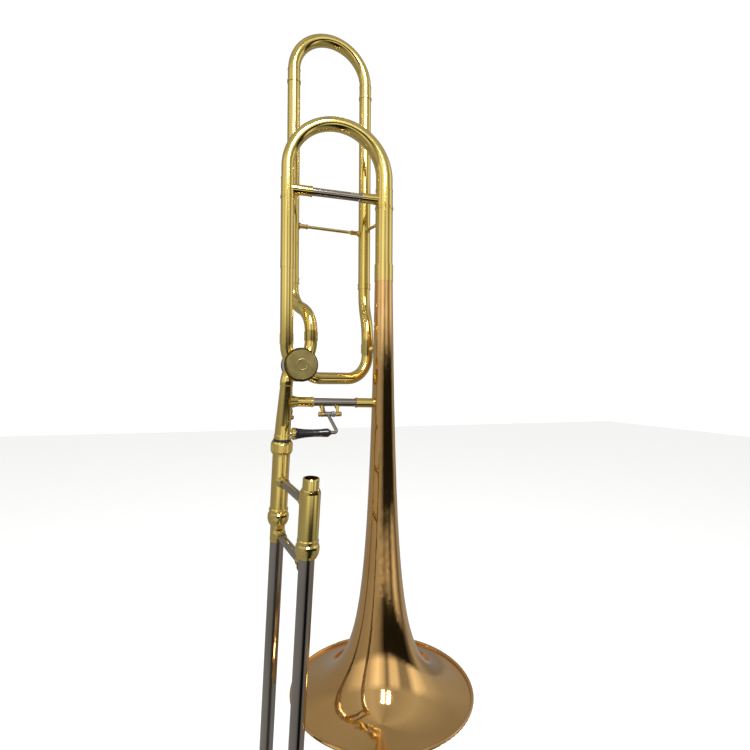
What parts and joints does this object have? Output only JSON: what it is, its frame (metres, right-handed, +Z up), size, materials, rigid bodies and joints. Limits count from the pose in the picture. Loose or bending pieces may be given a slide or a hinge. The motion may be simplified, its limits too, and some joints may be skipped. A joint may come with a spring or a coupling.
{
  "type": "tenor trombone",
  "caption": "Tenor trombone with an open-wrap F attachment, a rotary valve worked by a thumb lever, tuning slides and a telescoping hand slide.",
  "frame": {"origin": "centre of the bell's mouth, in the plane of its rim's flare", "axes": "+Z up the bell's axis from the mouth to the tuning slides, +X from the neckpipe to the bell, -Y towards the mouthpiece side"},
  "size_m": [0.2643, 0.2178, 1.3257],
  "materials": {
    "brass": "polished, lacquered",
    "rose_brass": "polished, lacquered",
    "nickel_silver": "polished",
    "black_plastic": "gloss",
    "steel": "plain",
    "cork": "matte",
    "rubber": "matte"
  },
  "bodies": {
    "bell_section": {"barrel_bell_side": "brass", "barrel_corks": "cork", "barrel_end_ring": "brass", "barrel_mouthpiece_side": "brass", "bell": "rose_brass", "bell_brace": "nickel_silver", "bell_brace_sockets": "brass", "bell_rim_wire": "brass", "f_inlet_bend": "brass", "f_return_bend": "brass", "f_return_upper": "brass", "f_stays": "brass", "f_tube_ferrules": "brass", "gooseneck_tube": "brass", "inner_brace": "nickel_silver", "inner_brace_sockets": "brass", "inner_tubes": "nickel_silver", "joint_ferrules": "brass", "leadpipe": "brass", "lever_hinge_pin": "brass", "lever_hinge_posts": "brass", "lever_spring": "steel", "mouthpiece_receiver": "brass", "neckpipe": "brass", "receiver_seal": "black_plastic", "rotor_bearings": "brass", "rotor_cap": "brass", "rotor_casing": "brass", "slide_tenon": "brass", "stop_bumpers": "rubber", "stop_plate": "brass", "tuning_slide_receivers": "brass"},
    "main_tuning_slide": {"main_slide_legs": "nickel_silver", "main_slide_ferrules": "brass", "main_slide_bow": "brass", "main_slide_brace": "nickel_silver", "main_slide_brace_sockets": "brass"},
    "f_tuning_slide": {"f_slide_legs": "nickel_silver", "f_slide_ferrules": "brass", "f_slide_bow": "brass"},
    "hand_slide": {"outer_tubes": "nickel_silver", "outer_tube_ferrules": "brass", "outer_brace": "nickel_silver", "outer_brace_sockets": "brass", "slide_bow": "brass", "bow_bumper": "brass", "water_key_saddle": "brass", "water_key_pin": "steel"},
    "water_key": {"water_key_lever": "brass", "water_key_cork": "cork"},
    "thumb_lever": {"thumb_lever": "nickel_silver", "thumb_roller": "black_plastic", "thumb_roller_nut": "brass"},
    "rotor": {"rotor": "brass", "stop_arm": "brass", "stop_arm_screw": "steel"},
    "link": {"link_rod": "brass"},
    "lock_nut": {"lock_nut": "brass"},
    "slide_lock": {"slide_lock_ring": "brass"}
  },
  "joints": [
    {"name": "hand_slide_run", "type": "slide", "parent": "bell_section", "child": "hand_slide", "axis": [-0.0326, 0.091, -0.9953], "range_m": [0, 0.57]},
    {"name": "main_tuning_run", "type": "slide", "parent": "bell_section", "child": "main_tuning_slide", "axis": [0, 0, 1], "range_m": [0, 0.055]},
    {"name": "f_tuning_run", "type": "slide", "parent": "bell_section", "child": "f_tuning_slide", "axis": [0, 0, 1], "range_m": [0, 0.055]},
    {"name": "thumb_lever_hinge", "type": "hinge", "parent": "bell_section", "child": "thumb_lever", "pos_m": [-0.0666, -0.006, 0.329], "axis": [1, 0, 0], "range_deg": [0, 19.15], "stiffness_Nm_per_rad": 0.25, "springref_deg": -28.65},
    {"name": "rotor_turn", "type": "hinge", "parent": "bell_section", "child": "rotor", "pos_m": [-0.1017, 0, 0.3854], "axis": [0, 1, 0], "range_deg": [0, 90]},
    {"name": "link_swing", "type": "hinge", "parent": "rotor", "child": "link", "pos_m": [-0.10736, 0.02776, 0.37974], "axis": [0, 1, 0], "range_deg": [-90, 0]},
    {"name": "lock_nut_turn", "type": "hinge", "parent": "bell_section", "child": "lock_nut", "pos_m": [-0.12066, -0.00044, 0.29255], "axis": [0.0326, -0.091, 0.9953], "continuous": true},
    {"name": "slide_lock_turn", "type": "hinge", "parent": "bell_section", "child": "slide_lock", "pos_m": [-0.10391, -0.08093, 0.20527], "axis": [0.0326, -0.091, 0.9953], "range_deg": [0, 30]},
    {"name": "water_key_hinge", "type": "hinge", "parent": "hand_slide", "child": "water_key", "pos_m": [-0.14876, 0.08317, -0.47047], "axis": [0.9762, 0.2164, -0.0122], "range_deg": [0, 12], "stiffness_Nm_per_rad": 0.08, "springref_deg": -17.19}
  ],
  "couplings": [
    {"joint": "rotor_turn", "follows": "thumb_lever_hinge", "ratio": 4.6981},
    {"joint": "link_swing", "follows": "thumb_lever_hinge", "ratio": -4.6981}
  ]
}
